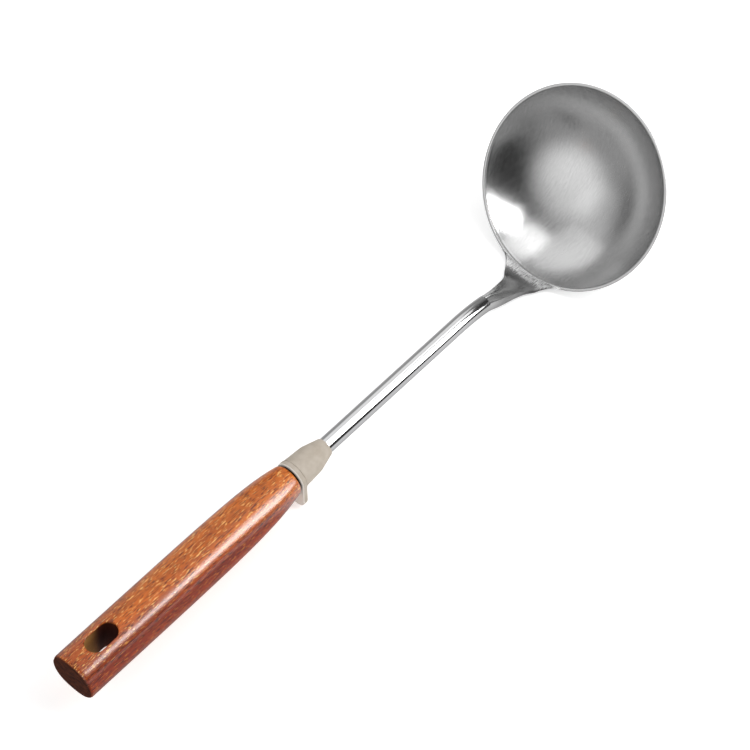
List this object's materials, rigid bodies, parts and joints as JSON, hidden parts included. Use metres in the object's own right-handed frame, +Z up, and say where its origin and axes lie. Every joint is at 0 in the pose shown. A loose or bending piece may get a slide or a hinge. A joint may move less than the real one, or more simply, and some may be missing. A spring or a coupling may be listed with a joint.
{
  "type": "soup ladle",
  "caption": "Steel soup ladle with a round bowl, a tube stem, a tapered collar with a rest lug, and a wooden handle with a hanging slot.",
  "frame": {"origin": "on the table, under the middle of the ladle as it lies on its bowl and its rest lug", "axes": "+X from the bowl to the handle's end, +Z up from the table, XZ the ladle's plane of symmetry"},
  "size_m": [0.375, 0.1, 0.078],
  "materials": {
    "brushed_bowl": "fine brushed stainless steel",
    "satin_neck": "satin stainless steel",
    "polished_stem": "polished stainless steel tube",
    "collar": "matte taupe moulding",
    "wood": "lacquered red-brown hardwood",
    "adhesive": "cured epoxy, hidden"
  },
  "bodies": {
    "root": {"bowl": "brushed_bowl", "neck": "satin_neck", "stem": "polished_stem", "collar": "collar", "handle": "wood", "tang_adhesive": "adhesive"}
  },
  "joints": []
}
